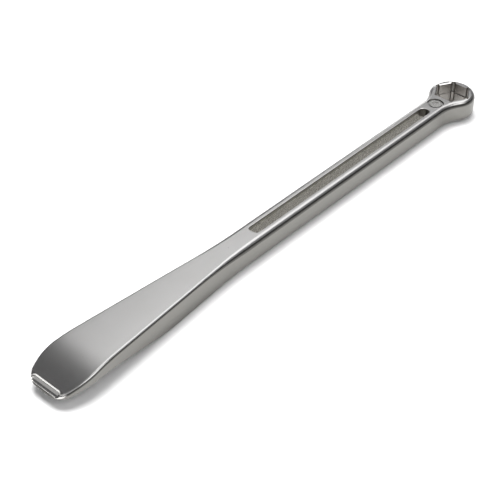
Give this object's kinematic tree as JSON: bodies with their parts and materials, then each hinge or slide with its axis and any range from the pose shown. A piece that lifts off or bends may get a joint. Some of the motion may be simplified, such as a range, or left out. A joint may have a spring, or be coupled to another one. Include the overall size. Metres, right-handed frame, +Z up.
{
  "type": "tyre lever",
  "caption": "One-piece forged spoon tyre lever with a slotted bar handle, a round hanging hole and a hexagon ring wrench at the far end.",
  "frame": {"origin": "on the floor plane the lever lies on, under the middle of its overall length and width", "axes": "+X along the lever from the spoon tip to the ring, +Y across it, +Z up through the scooped face of the spoon"},
  "size_m": [0.2342, 0.0214, 0.0096],
  "materials": {
    "satin_steel": "satin nickel-chrome plate over forged chrome-vanadium steel"
  },
  "bodies": {
    "root": {"lever_forging": "satin_steel"}
  },
  "joints": []
}
